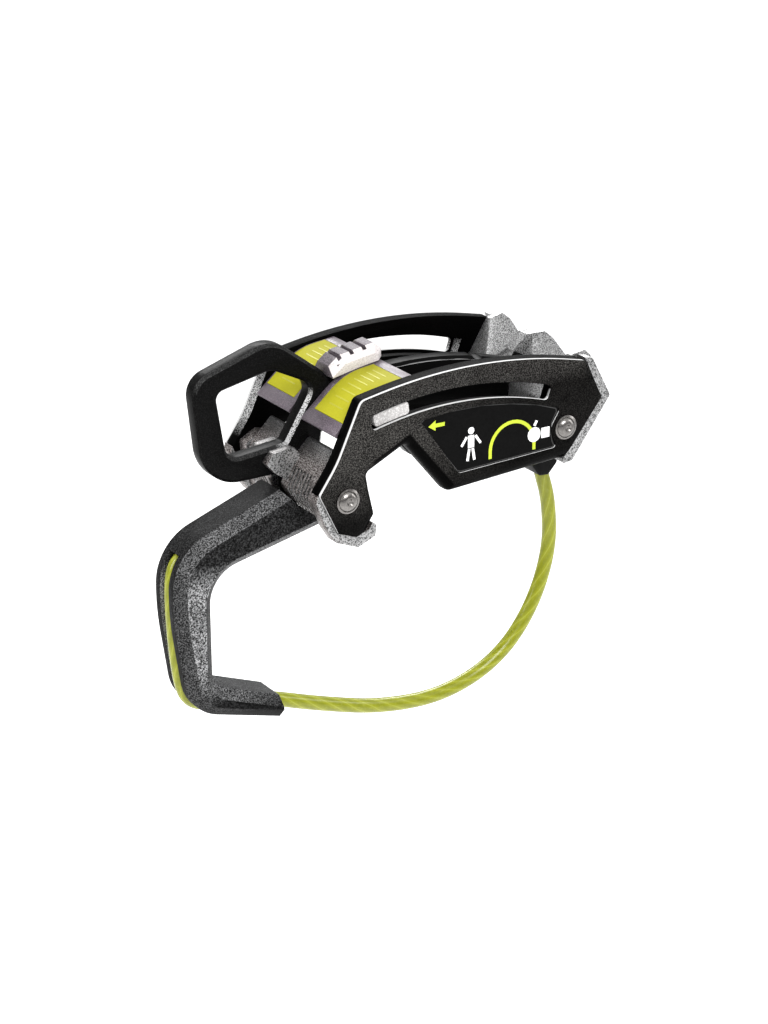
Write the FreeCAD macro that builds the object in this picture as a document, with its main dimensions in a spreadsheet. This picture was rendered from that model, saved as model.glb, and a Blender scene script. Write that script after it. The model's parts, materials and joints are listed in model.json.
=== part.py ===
import FreeCAD, Part
import math
import os

# Tube-style belay device with a thumb hook, a guide eye and a two-position mode slide.
# Frame: millimetres, origin on the axis of the carabiner bar seated in the belly notch, on the
# centre plane. +X runs from the hook to the rear wear insert, +Y is across, +Z is up.

V = FreeCAD.Vector
LEFT, RIGHT = -1, 1
SIDE_NAME = {LEFT: "left", RIGHT: "right"}

doc = FreeCAD.newDocument("belay_device")

# --- driving dimensions ------------------------------------------------------------------

DIMENSIONS = {
    "cheek_outer": 19.0,         # centre plane to a cheek's outer face
    "cheek_thickness": 3.4,
    "cheek_bevel": 2.0,          # rounded edge along the notch and the belly
    "spine_thickness": 4.0,
    "eye_chamfer": 0.7,
    "label_recess": 0.6,
    "label_thickness": 0.4,
    "fit_gap": 0.05,             # pieces that are riveted together
    "run_gap": 0.3,              # pieces that slide past each other
    "rivet_shank": 3.2,
    "rivet_head": 5.2,
    "rivet_rise": 1.2,
    "pin_diameter": 2.0,
    "track_radius": 77.6,        # centre line of the arc window that guides the slide
    "track_x": 13.0,
    "track_z": -62.1,
    "window_height": 3.2,
    "shoe_height": 2.7,
    "grip_half_width": 3.7,
    "grip_pin_half": 3.3,
    "shoe_outer": 18.5,
    "hook_half_width": 5.8,
    "hook_outer_bevel": 2.2,
    "hook_inner_bevel": 2.0,
    "cable_diameter": 3.2,
    "core_diameter": 1.9,
    "cable_bore": 3.5,
    "ferrule_diameter": 4.2,
    "ferrule_length": 4.0,
    "steel_outer": 18.6,         # centre plane to the outer face of the steel shoes
    "flute_pitch": 1.2,
    "flute_width": 0.6,
    "flute_depth": 0.5,
    "boot_half_width": 2.9,
}

sheet = doc.addObject("Spreadsheet::Sheet", "dims")
for row, (alias, value) in enumerate(DIMENSIONS.items(), start=1):
    sheet.set("A%d" % row, alias)
    sheet.set("B%d" % row, str(value))
    sheet.setAlias("B%d" % row, alias)
doc.recompute()


def dim(alias):
    """The value of a spreadsheet cell, for the few shapes that code works out."""
    return float(sheet.get(alias))


def bind(obj, prop, expression):
    """Bind a property to spreadsheet cells; cell names are written bare."""
    words = []
    for word in expression.replace("(", " ( ").replace(")", " ) ").split():
        words.append("dims." + word if word in DIMENSIONS else word)
    obj.setExpression(prop, " ".join(words))


TRACK_CENTRE = (dim("track_x"), dim("track_z"))


def on_track(radius, angle_deg):
    """A point in the XZ plane, at an angle from the vertical about the slide's centre."""
    angle = math.radians(angle_deg)
    return (TRACK_CENTRE[0] + radius * math.sin(angle), TRACK_CENTRE[1] + radius * math.cos(angle))


# --- outlines ------------------------------------------------------------------------------


def unit(start, end):
    d = (end[0] - start[0], end[1] - start[1])
    size = math.hypot(*d)
    return (d[0] / size, d[1] / size), size


def corner_arc(before, corner, after, radius):
    """First, middle and last point of the arc that rounds a corner."""
    back, _ = unit(corner, before)
    ahead, _ = unit(corner, after)
    half = math.acos(max(-1.0, min(1.0, back[0] * ahead[0] + back[1] * ahead[1]))) / 2
    reach = radius / math.tan(half)
    bisector, _ = unit((0, 0), (back[0] + ahead[0], back[1] + ahead[1]))
    depth = radius / math.sin(half) - radius
    first = (corner[0] + back[0] * reach, corner[1] + back[1] * reach)
    middle = (corner[0] + bisector[0] * depth, corner[1] + bisector[1] * depth)
    last = (corner[0] + ahead[0] * reach, corner[1] + ahead[1] * reach)
    return first, middle, last


def flat(point):
    return V(point[0], point[1], 0)


def closed_outline(corners):
    """Lines and arcs of a closed outline. A corner is (x, z), (x, z, radius), or
    ("via", x, z) for a point that an arc between its two neighbours passes through."""
    stations = []
    count = len(corners)
    for i, corner in enumerate(corners):
        if corner[0] == "via":
            stations.append(("via", corner[1:]))
        elif len(corner) == 3:
            arc = corner_arc(corners[i - 1], corner, corners[(i + 1) % count], corner[2])
            stations.append(("arc", arc))
        else:
            stations.append(("point", corner))
    first = next(i for i, (kind, _) in enumerate(stations) if kind != "via")
    stations = stations[first:] + stations[:first]
    geometry = []
    pending = None
    for kind, data in stations + stations[:1]:
        if kind == "via":
            through = data
            continue
        entry = data[0] if kind == "arc" else data
        if pending is not None:
            end, bend = pending
            if bend is not None:
                geometry.append(Part.Arc(flat(end), flat(bend), flat(entry)))
            elif math.dist(end, entry) > 1e-6:
                geometry.append(Part.LineSegment(flat(end), flat(entry)))
        if len(geometry) and kind == stations[0][0] and data is stations[0][1]:
            break
        if kind == "arc":
            geometry.append(Part.Arc(*[flat(p) for p in data]))
        exit_point = data[2] if kind == "arc" else data
        pending = (exit_point, None)
        position = stations.index((kind, data))
        following = stations[(position + 1) % len(stations)]
        if following[0] == "via":
            pending = (exit_point, following[1])
    return geometry


def circle(centre, radius):
    return [Part.Circle(flat(centre), V(0, 0, 1), radius)]


def band(inner_radius, outer_radius, start_deg, end_deg):
    """Corners of a strip that follows the slide's arc."""
    middle = (start_deg + end_deg) / 2
    return [
        on_track(outer_radius, start_deg),
        ("via",) + on_track(outer_radius, middle),
        on_track(outer_radius, end_deg),
        on_track(inner_radius, end_deg),
        ("via",) + on_track(inner_radius, middle),
        on_track(inner_radius, start_deg),
    ]


# --- bodies and features ---------------------------------------------------------------------


def new_body(label):
    body = doc.addObject("PartDesign::Body", label)
    body.Label = label
    return body


def side_sketch(body, name, geometry, top_y):
    """A sketch parallel to the XZ plane, lying at the given Y (an expression)."""
    plane = [o for o in body.Origin.OriginFeatures if o.Role == "XZ_Plane"][0]
    sketch = body.newObject("Sketcher::SketchObject", name)
    sketch.AttachmentSupport = [(plane, "")]
    sketch.MapMode = "FlatFace"
    bind(sketch, "AttachmentOffset.Base.z", "0 mm - 1 mm * ( %s )" % top_y)
    sketch.addGeometry(geometry, False)
    return sketch


def span(side, inner, outer):
    """Start face and length of a piece between two distances from the centre plane."""
    if side == LEFT:
        return "0 - ( %s )" % inner, "1 mm * ( ( %s ) - ( %s ) )" % (outer, inner)
    return outer, "1 mm * ( ( %s ) - ( %s ) )" % (outer, inner)


def pad(body, name, geometry, inner, outer, side=RIGHT):
    top, length = span(side, inner, outer)
    feature = body.newObject("PartDesign::Pad", name)
    feature.Profile = side_sketch(body, name + "_sketch", geometry, top)
    bind(feature, "Length", length)
    doc.recompute()
    return feature


def pocket(body, name, geometry, inner, outer, side=RIGHT):
    before = body.Shape.Volume
    top, length = span(side, inner, outer)
    feature = body.newObject("PartDesign::Pocket", name)
    feature.Profile = side_sketch(body, name + "_sketch", geometry, top)
    bind(feature, "Length", length)
    feature.Reversed = True
    doc.recompute()
    if not body.Shape.Volume < before - 1e-6:
        raise RuntimeError("%s cuts nothing from %s" % (name, body.Label))
    return feature


def edges_where(feature, test):
    return ["Edge%d" % (i + 1) for i, e in enumerate(feature.Shape.Edges) if test(e)]


def dress(body, kind, name, test, sizes):
    """A fillet or chamfer on the edges that pass the test; sizes maps a property to cells."""
    base = body.Tip
    names = edges_where(base, test)
    if not names:
        raise RuntimeError("%s finds no edge on %s" % (name, body.Label))
    feature = body.newObject("PartDesign::" + kind, name)
    feature.Base = (base, names)
    for prop, cells in sizes.items():
        bind(feature, prop, "1 mm * ( %s )" % cells)
    doc.recompute()
    if feature.Shape.isNull() or "Invalid" in feature.State:
        raise RuntimeError("%s fails on %s" % (name, body.Label))
    return feature


def mid(edge):
    return edge.valueAt((edge.FirstParameter + edge.LastParameter) / 2)


def lies_at_y(edge, y):
    box = edge.BoundBox
    return abs(box.YMin - y) < 1e-4 and abs(box.YMax - y) < 1e-4


def runs_across(edge):
    return edge.BoundBox.XLength < 1e-4 and edge.BoundBox.ZLength < 1e-4


def turned_pin(label, profile, place):
    """A round piece turned about its own Y axis; profile is (radius, y) corners."""
    body = new_body(label)
    plane = [o for o in body.Origin.OriginFeatures if o.Role == "XY_Plane"][0]
    sketch = body.newObject("Sketcher::SketchObject", label + "_profile")
    sketch.AttachmentSupport = [(plane, "")]
    sketch.MapMode = "FlatFace"
    sketch.addGeometry(closed_outline(profile), False)
    turn = body.newObject("PartDesign::Revolution", label + "_turn")
    turn.Profile = sketch
    turn.ReferenceAxis = (sketch, ["V_Axis"])
    turn.Angle = 360
    body.Placement = FreeCAD.Placement(V(place[0], 0, place[1]), FreeCAD.Rotation())
    doc.recompute()
    return body


# --- shared outlines -------------------------------------------------------------------------

FRONT_RIVET = (-11.8, -1.9)
REAR_RIVET = (40.7, 3.7)
HOOK_PIN = (-12.3, -9.2)
BOOT_PIN = (45.4, -6.4)

FOOT = [
    (-6.1, -0.8, 5.0),
    (-4.8, -6.3, 1.0),
    (-6.6, -9.0),
    (-9.6, -10.0, 0.6),
    (-13.9, -8.4, 0.6),
    (-18.1, 0.2, 0.8),
]

CHEEK = [
    (-8.4, 18.2, 1.8),
    (18.5, 23.2, 112.0),
    (45.2, 17.3, 0.8),
    (49.9, 8.6, 0.8),
    (40.5, -3.4),
    (12.5, -5.2, 1.8),
    (2.4, 7.0, 1.2),
    (-6.7, 2.6, 1.0),
] + FOOT + [(-14.0, 6.0, 25.0)]

WINDOW_START, WINDOW_END = -14.3, 17.7     # degrees about the slide's centre
SLIDE_TRAVEL = 21.0                        # degrees, hand position to assisted position

PANEL = [
    (5.2, 11.6, 0.5),
    (22.5, 13.0, 66.0),
    (39.6, 8.1, 0.8),
    (36.9, 4.0, 3.0),
    (38.7, -0.3, 0.7),
    (14.6, -1.3, 1.0),
]

# --- cheeks and their labels -----------------------------------------------------------------


def make_cheek(side):
    body = new_body("cheek_" + SIDE_NAME[side])
    inner = "cheek_outer - cheek_thickness"
    pad(body, body.Label + "_plate", closed_outline(CHEEK), inner, "cheek_outer", side)
    outer_y = side * dim("cheek_outer")

    def lower_edge(edge):
        p = mid(edge)
        return lies_at_y(edge, outer_y) and -5.25 < p.z < 7.5 and -7.5 < p.x < 38.0

    dress(body, "Fillet", body.Label + "_bevel", lower_edge, {"Radius": "cheek_bevel"})

    half = dim("window_height") / 2
    radius = dim("track_radius")
    window = closed_outline(band(radius - half, radius + half, WINDOW_START, WINDOW_END))
    pocket(body, body.Label + "_window", window, inner + " - 1", "cheek_outer + 1", side)

    def window_corner(edge):
        p = mid(edge)
        reach = math.hypot(p.x - TRACK_CENTRE[0], p.z - TRACK_CENTRE[1])
        return runs_across(edge) and abs(abs(reach - radius) - half) < 1e-3

    dress(body, "Fillet", body.Label + "_window_ends", window_corner, {"Radius": "0.8"})
    wide = half + 0.6
    land = closed_outline(band(radius - wide, radius + wide, WINDOW_START - 0.6, WINDOW_END + 0.5))
    pocket(body, body.Label + "_track_relief", land, inner + " - 1", inner + " + 2.4", side)
    pocket(body, body.Label + "_panel", closed_outline(PANEL),
           "cheek_outer - label_recess", "cheek_outer + 1", side)
    holes = circle(FRONT_RIVET, dim("rivet_shank") / 2 + 0.05)
    holes += circle(REAR_RIVET, dim("rivet_shank") / 2 + 0.05)
    pocket(body, body.Label + "_rivet_holes", holes, inner + " - 1", "cheek_outer + 1", side)
    return body


def make_label(side):
    body = new_body("label_" + SIDE_NAME[side])
    pad(body, body.Label + "_plate", closed_outline(PANEL),
        "cheek_outer - label_recess", "cheek_outer - label_recess + label_thickness", side)
    return body


# --- centre plate with the guide eye ---------------------------------------------------------

EYE_INNER = [
    (-31.4, 18.9, 2.0),
    (-18.6, 21.6, 4.0),
    (-9.0, 16.9, 2.5),
    (-15.8, 5.8, 1.2),
    (-29.0, 4.5, 3.0),
]

SPINE = [
    (-7.0, 19.5, 4.0),
    (-4.2, 16.0),
    ("via",) + on_track(80.0, 3.0),
    on_track(80.0, 18.3),
    (45.6, 11.4, 1.0),
    (46.4, 2.0, 1.0),
    (47.4, -7.6, 1.0),
    (43.6, -8.4, 1.0),
    (41.6, -3.1, 1.0),
    (14.6, -3.1, 2.5),
    (3.4, 9.6, 1.5),
    (-7.0, 6.6, 0.9),
    (-8.3, -4.5, 1.5),
    (-9.6, -10.6, 1.0),
    (-14.0, -10.2, 1.0),
    (-15.4, -5.0, 1.0),
    (-16.2, -0.5, 1.0),
    (-34.3, -0.7, 9.3),
    (-36.9, 22.1, 4.8),
    (-18.4, 28.1, 8.0),
]

REST_ANGLE = -8.3        # middle of the grip, degrees about the slide's centre


def make_spine():
    body = new_body("spine")
    pad(body, "spine_plate", closed_outline(SPINE), "0 - spine_thickness / 2", "spine_thickness / 2")
    pocket(body, "spine_eye", closed_outline(EYE_INNER),
           "0 - spine_thickness", "spine_thickness")
    half = dim("spine_thickness") / 2

    def eye_edge(edge):
        in_face = lies_at_y(edge, half) or lies_at_y(edge, -half)
        return in_face and mid(edge).x < -7.6 and mid(edge).z > -0.6

    dress(body, "Chamfer", "spine_eye_chamfer", eye_edge, {"Size": "eye_chamfer"})
    holes = circle(FRONT_RIVET, dim("rivet_shank") / 2 + 0.05)
    holes += circle(REAR_RIVET, dim("rivet_shank") / 2 + 0.05)
    holes += circle(HOOK_PIN, dim("pin_diameter") / 2 + 0.05)
    holes += circle(BOOT_PIN, dim("pin_diameter") / 2 + 0.05)
    pocket(body, "spine_holes", holes, "0 - spine_thickness", "spine_thickness")
    detents = []
    for angle in (REST_ANGLE, REST_ANGLE + SLIDE_TRAVEL):
        detents += circle(on_track(80.6, angle), 1.4)
    pocket(body, "spine_detents", detents, "0 - spine_thickness", "spine_thickness")
    return body


# --- steel wear inserts ----------------------------------------------------------------------

CREST = [
    (-15.3, 1.6, 0.4),
    (-10.4, 6.5, 0.8),
    (-8.7, 5.0, 0.8),
    (-8.2, -6.6, 0.5),
    (-15.2, -6.6, 0.6),
    (-17.2, -2.6, 1.5),
]

NOSE = [
    (-21.4, 2.8, 0.4),
    (-19.8, 4.9, 0.4),
    (-15.0, 5.4, 0.6),
    (-12.5, 2.0, 0.5),
    (-16.4, -1.6, 0.5),
    (-19.4, 0.6, 0.4),
]

SHOE = [
    (-16.6, 1.4, 0.5),
    (-16.4, -2.2, 0.8),
    (-15.0, -6.6, 1.5),
    (-13.4, -10.2, 1.0),
    (-9.2, -12.4, 0.6),
    (-5.2, -10.9, 0.6),
    (-5.3, -8.6, 0.5),
    (-7.8, -3.0, 0.5),
    (-8.5, 2.4, 0.5),
    (-13.0, 3.4, 0.5),
]

SHOE_RIM = [
    (-18.3, 0.25),
    (-18.7, -1.4, 0.5),
    (-17.6, -4.2, 1.0),
    (-16.2, -7.4, 1.5),
    (-14.2, -10.5, 1.0),
    (-9.0, -12.5, 0.6),
    (-5.0, -10.8, 0.6),
    (-4.8, -8.4, 0.5),
    (-5.7, -7.9),
    (-6.48, -9.15),
    (-9.6, -10.17),
    (-14.0, -8.55),
]


def make_front_insert(side):
    body = new_body("front_wear_insert_" + SIDE_NAME[side])
    clear = "spine_thickness / 2 + fit_gap"
    pad(body, body.Label + "_crest", closed_outline(CREST), clear, "13.0", side)
    pad(body, body.Label + "_nose", closed_outline(NOSE), clear, "4.0", side)
    wall = "cheek_outer - cheek_thickness - fit_gap"
    pad(body, body.Label + "_wall", closed_outline(SHOE), "12.8", wall, side)
    pad(body, body.Label + "_rim", closed_outline(SHOE_RIM), wall, "steel_outer", side)
    depth = dim("flute_depth")
    flute = [
        (-15.5, 1.9),
        (-15.0 + depth, 1.3),
        (-16.8 + depth, -2.6),
        (-15.0 + depth, -7.2),
        (-15.8, -7.2),
        (-18.2, -2.6),
    ]
    pocket(body, body.Label + "_flute", closed_outline(flute), "4.6", "4.6 + flute_width", side)
    pattern = body.newObject("PartDesign::LinearPattern", body.Label + "_flutes")
    pattern.Originals = [body.Tip]
    axis = [o for o in body.Origin.OriginFeatures if o.Role == "Y_Axis"][0]
    pattern.Direction = (axis, [""])
    pattern.Reversed = side == LEFT
    pattern.Occurrences = 7
    bind(pattern, "Length", "6 * flute_pitch * 1 mm")
    body.Tip = pattern
    doc.recompute()
    holes = circle(FRONT_RIVET, dim("rivet_shank") / 2 + 0.05)
    pocket(body, body.Label + "_rivet_hole", holes, "0", "steel_outer", side)
    return body


REAR_FIN = [
    (37.9, 2.0, 1.0),
    (38.3, 8.6, 1.0),
    (40.3, 10.8),
    (44.4, 17.6, 0.5),
    (47.7, 18.2, 0.6),
    (49.2, 16.9, 0.6),
    (52.5, 8.7, 1.0),
    (43.0, -3.6, 0.8),
    (38.6, -3.0, 0.6),
]

REAR_MIDDLE = [
    (38.3, 8.0, 0.5),
    (38.5, 14.6, 0.4),
    (43.2, 18.6, 0.6),
    (47.6, 18.4, 0.6),
    (49.4, 16.9, 0.6),
    (52.0, 11.0, 1.0),
    (50.0, 5.0, 1.0),
    (44.0, 0.0, 1.0),
]

REAR_RIM = [
    (45.7, 17.7),
    (47.6, 17.3, 0.5),
    (52.3, 8.5, 0.8),
    (43.0, -4.2, 0.7),
    (40.6, -4.5, 0.4),
    (40.62, -3.5),
    (50.05, 8.53, 0.8),
]


def make_rear_insert():
    body = new_body("rear_wear_insert")
    wall = "cheek_outer - cheek_thickness - fit_gap"
    pad(body, "rear_block", closed_outline(REAR_FIN), "0 - ( %s )" % wall, wall)
    plane = [o for o in body.Origin.OriginFeatures if o.Role == "YZ_Plane"][0]
    groove = body.newObject("Sketcher::SketchObject", "rear_groove_sketch")
    groove.AttachmentSupport = [(plane, "")]
    groove.MapMode = "FlatFace"
    for side in (LEFT, RIGHT):
        vee = [
            (side * 1.3, 21.0),
            (side * 1.3, 17.9),
            (side * 8.9, 9.6, 1.6),
            (side * 15.4, 19.6),
            (side * 15.4, 21.0),
        ]
        groove.addGeometry(closed_outline(vee), False)
    cut = body.newObject("PartDesign::Pocket", "rear_grooves")
    cut.Profile = groove
    cut.Length = 80
    cut.Reversed = True
    before = body.Shape.Volume
    doc.recompute()
    if not body.Shape.Volume < before - 1e-6:
        raise RuntimeError("the rear grooves cut nothing")
    pad(body, "rear_middle", closed_outline(REAR_MIDDLE), "0 - 1.5", "1.5")
    for side in (LEFT, RIGHT):
        pad(body, "rear_rim_" + SIDE_NAME[side], closed_outline(REAR_RIM), wall, "steel_outer", side)
    slot = [(36.0, -5.0), (36.0, 16.0), (38.6, 16.0), (46.8, 11.9), (47.7, -5.0)]
    gap = "spine_thickness / 2 + fit_gap"
    pocket(body, "rear_spine_slot", closed_outline(slot), "0 - ( %s )" % gap, gap)
    holes = circle(REAR_RIVET, dim("rivet_shank") / 2 + 0.05)
    pocket(body, "rear_rivet_hole", holes, "0 - steel_outer", "steel_outer")
    return body


# --- rivets and pins -------------------------------------------------------------------------


def make_rivet(label, place):
    shank = dim("rivet_shank") / 2
    head = dim("rivet_head") / 2
    face = dim("cheek_outer") + 0.02
    top = face + dim("rivet_rise")
    half = [
        (shank, face),
        (head, face),
        (head, face + 0.35),
        (head - 0.35, face + 0.5),
        (head - 0.5, face + 0.45),
        ("via", head * 0.62, top - 0.22),
        (0.75, top),
        (0.45, top - 0.3),
        (0.0, top - 0.35),
    ]
    mirrored = [("via", p[1], -p[2]) if p[0] == "via" else (p[0], -p[1]) for p in reversed(half)]
    return turned_pin(label, half + mirrored, place)


def cross_pins(label, places, diameter, half_length):
    """Plain cross pins that share one node; each is a cylinder along Y."""
    pins = []
    for i, (x, z) in enumerate(places):
        pin = doc.addObject("Part::Cylinder", "%s_%d" % (label, i))
        bind(pin, "Radius", "%s / 2 * 1 mm" % diameter)
        bind(pin, "Height", "2 mm * ( %s )" % half_length)
        pin.Placement = FreeCAD.Placement(V(x, 0, z), FreeCAD.Rotation(V(1, 0, 0), -90))
        bind(pin, "Placement.Base.y", "0 mm - 1 mm * ( %s )" % half_length)
        pins.append(pin)
    group = doc.addObject("Part::Compound", label)
    group.Label = label
    group.Links = pins
    doc.recompute()
    return group


# --- cable -----------------------------------------------------------------------------------

# Route of the cable's centre line from its end in the hook to its end in the rear boot.
CABLE_ROUTE = [
    (-35.6, -13.6),
    (-39.0, -14.2),
    (-41.1, -17.2),
    (-41.45, -22.6),
    (-41.2, -29.0),
    (-40.75, -35.0),
    (-40.0, -41.0),
    (-38.9, -44.9),
    (-36.3, -47.1),
    (-32.2, -47.7),
    (-26.0, -48.7),
    (-19.0, -50.3),
    (-7.5, -54.4),
    (8.0, -59.0),
    (24.0, -60.0),
    (37.9, -54.9),
    (46.6, -44.8),
    (51.1, -32.0),
    (50.5, -20.5),
    (48.3, -13.4),
    (47.3, -9.6),
]
HOOK_END_OF_ROUTE = 12     # points of the route that belong to the hook


def cord_path(route, name):
    """Straight runs joined by tangent arcs, each arc as large as its runs allow."""
    edges = []
    radii = []
    position = route[0]
    for before, corner, after in zip(route, route[1:], route[2:]):
        back, size_before = unit(corner, before)
        ahead, size_after = unit(corner, after)
        turn = math.pi - math.acos(back[0] * ahead[0] + back[1] * ahead[1])
        radius = 0.45 * min(size_before, size_after) / math.tan(turn / 2)
        first, middle, last = corner_arc(before, corner, after, radius)
        edges.append(Part.LineSegment(V(position[0], 0, position[1]), V(first[0], 0, first[1])))
        arc = [V(p[0], 0, p[1]) for p in (first, middle, last)]
        edges.append(Part.Arc(*arc))
        radii.append(radius)
        position = last
    edges.append(Part.LineSegment(V(position[0], 0, position[1]), V(route[-1][0], 0, route[-1][1])))
    path = doc.addObject("Part::Feature", name)
    path.Shape = Part.Wire([e.toShape() for e in edges])
    return path, radii


def swept(name, path, diameter):
    """A round bar along a path."""
    wire = path.Shape
    first = wire.Edges[0]
    section = doc.addObject("Part::Circle", name + "_section")
    bind(section, "Radius", "%s / 2 * 1 mm" % diameter)
    tangent = first.tangentAt(first.FirstParameter)
    section.Placement = FreeCAD.Placement(first.valueAt(first.FirstParameter),
                                          FreeCAD.Rotation(V(0, 0, 1), tangent))
    sweep = doc.addObject("Part::Sweep", name)
    sweep.Sections = [section]
    sweep.Spine = (path, ["Edge%d" % (i + 1) for i in range(len(wire.Edges))])
    sweep.Solid = True
    sweep.Frenet = False
    doc.recompute()
    expected = math.pi * (section.Radius.Value ** 2) * wire.Length
    if abs(sweep.Shape.Volume - expected) > 0.01 * expected:
        raise RuntimeError("%s has volume %.1f, not %.1f" % (name, sweep.Shape.Volume, expected))
    return sweep


def cut(label, base, tool):
    result = doc.addObject("Part::Cut", label)
    result.Label = label
    result.Base = base
    result.Tool = tool
    doc.recompute()
    if result.Shape.isNull() or not result.Shape.Volume < base.Shape.Volume - 1e-6:
        raise RuntimeError("%s: the tool cuts nothing" % label)
    return result


def ferrule(label, start, direction):
    """A swaged sleeve on the cable's end, from a point along a direction in the XZ plane."""
    body = doc.addObject("Part::Cylinder", label + "_sleeve")
    bind(body, "Radius", "ferrule_diameter / 2 * 1 mm")
    bind(body, "Height", "ferrule_length * 1 mm")
    axis = V(direction[0], 0, direction[1])
    axis.normalize()
    body.Placement = FreeCAD.Placement(V(start[0], 0, start[1]), FreeCAD.Rotation(V(0, 0, 1), axis))
    return body


def make_cable():
    path, radii = cord_path(CABLE_ROUTE, "cable_path")
    print("cable radii, mm:", " ".join("%.1f" % r for r in radii))
    print("cable length, mm: %.1f" % path.Shape.Length)
    core = swept("cable_core", path, "core_diameter")
    core.Label = "cable_core"
    bore = swept("cable_jacket_bore", path, "core_diameter")
    outside = swept("cable_jacket_outside", path, "cable_diameter")
    cut("cable_jacket", outside, bore)
    return path


# --- thumb hook ------------------------------------------------------------------------------

HOOK = [
    (-18.4, -3.1),
    (-43.0, -12.1, 12.0),
    (-43.2, -26.0, 60.0),
    (-40.0, -47.3, 10.0),
    (-19.0, -53.0),
    (-19.2, -48.0),
    (-34.7, -42.2, 4.5),
    (-34.9, -18.2, 8.0),
    (-9.3, -12.3),
    (-8.9, -7.3),
    (-14.9, -7.0),
]

HOOK_GROOVE = [
    (-38.8, -13.3),
    (-39.3, -14.6),
    (-41.0, -17.4),
    (-41.4, -22.8),
    (-41.2, -29.0),
    (-40.7, -35.0),
    (-39.9, -41.0),
    (-38.5, -44.9),
    (-36.7, -46.6),
    (-34.5, -47.2),
    (-34.5, -52.0),
    (-46.0, -52.0),
    (-46.0, -13.3),
]


def make_hook():
    body = new_body("hook_blank")
    half = "hook_half_width"
    pad(body, "hook_plate", closed_outline(HOOK), "0 - " + half, half)
    half_width = dim("hook_half_width")

    def chain_edge(edge, start, end):
        """True on both faces for the outline's edges that lie between two of its corners."""
        on_face = lies_at_y(edge, half_width) or lies_at_y(edge, -half_width)
        p = mid(edge)
        along, _ = unit(start, end)
        return on_face and abs(along[0] * (p.z - start[1]) - along[1] * (p.x - start[0])) < 0.5

    dress(body, "Chamfer", "hook_outer_bevel", lambda e: chain_edge(e, HOOK[0], HOOK[1]),
          {"Size": "hook_outer_bevel"})
    dress(body, "Chamfer", "hook_inner_bevel", lambda e: chain_edge(e, HOOK[7], HOOK[8]),
          {"Size": "hook_inner_bevel"})
    fork = [(-16.6, -1.0), (-16.6, -10.9), (-6.0, -10.9), (-6.0, -1.0)]
    gap = "spine_thickness / 2 + fit_gap"
    pocket(body, "hook_fork", closed_outline(fork), "0 - ( %s )" % gap, gap)
    pocket(body, "hook_pin_hole", circle(HOOK_PIN, dim("pin_diameter") / 2 + 0.05), "0 - 7", "7")
    groove = "( cable_bore / 2 + 0.1 )"
    pocket(body, "hook_groove", closed_outline(HOOK_GROOVE), "0 - " + groove, groove)
    path, _ = cord_path(CABLE_ROUTE[:HOOK_END_OF_ROUTE + 1], "hook_bore_path")
    bore_tool = swept("hook_bore_tool", path, "cable_bore")
    sleeve = ferrule("hook_ferrule", CABLE_ROUTE[0], direction_back(CABLE_ROUTE, 0))
    sleeve.Label = "hook_ferrule"
    pocket_tool = doc.addObject("Part::Cylinder", "hook_ferrule_pocket")
    bind(pocket_tool, "Radius", "( ferrule_diameter / 2 + fit_gap ) * 1 mm")
    bind(pocket_tool, "Height", "( ferrule_length + 0.3 ) * 1 mm")
    pocket_tool.Placement = sleeve.Placement
    doc.recompute()
    return cut("thumb_hook", cut("hook_bored", body, bore_tool), pocket_tool)


def direction_back(route, end):
    """Direction in which the cable's end points, out of the route."""
    a, b = (route[0], route[1]) if end == 0 else (route[-1], route[-2])
    d, _ = unit(b, a)
    return d


# --- rear boot -------------------------------------------------------------------------------

BOOT = [
    (42.6, -4.6, 0.5),
    (43.4, -9.4, 0.8),
    (46.1, -13.3, 0.8),
    (48.5, -13.5, 0.8),
    (50.8, -11.0, 0.8),
    (49.4, -5.6, 0.8),
    (46.6, -4.4, 0.5),
]


def make_boot():
    body = new_body("boot_blank")
    half = "boot_half_width"
    pad(body, "boot_block", closed_outline(BOOT), "0 - " + half, half)
    half_width = dim("boot_half_width")

    def rim(edge):
        return lies_at_y(edge, half_width) or lies_at_y(edge, -half_width)

    dress(body, "Chamfer", "boot_bevel", rim, {"Size": "0.4"})
    slot = [(40.0, 0.0), (40.0, -8.6), (47.6, -8.6), (47.6, 0.0)]
    gap = "spine_thickness / 2 + fit_gap"
    pocket(body, "boot_slot", closed_outline(slot), "0 - ( %s )" % gap, gap)
    pocket(body, "boot_pin_hole", circle(BOOT_PIN, dim("pin_diameter") / 2 + 0.05), "0 - 7", "7")
    path, _ = cord_path(CABLE_ROUTE[-4:], "boot_bore_path")
    bore_tool = swept("boot_bore_tool", path, "cable_bore")
    return cut("cable_boot", body, bore_tool)


# --- mode slide ------------------------------------------------------------------------------

SLIDE_PLATE = [
    (6.2, 19.88, 0.3),
    (-3.4, 18.8, 14.0),
    (-12.6, 10.7, 0.4),
    (-11.8, 9.9, 0.4),
    (-2.8, 17.05, 12.0),
    (6.4, 18.08, 0.3),
]

SLIDE_INLAY = [
    (3.6, 19.71),
    (-3.4, 18.85, 13.7),
    (-10.3, 12.8),
    (-9.9, 12.35),
    (-3.2, 18.2, 13.2),
    (3.7, 19.02),
]

SLIDE_RECESS = [
    (3.8, 21.4),
    (-3.4, 21.4),
    (-11.5, 14.4),
    (-9.98, 12.26),
    (-3.2, 18.14, 13.2),
    (3.8, 18.96),
]

SHOE_START, SHOE_END = -13.6, -7.5
EAR_START, EAR_END = -12.6, -7.8


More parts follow.
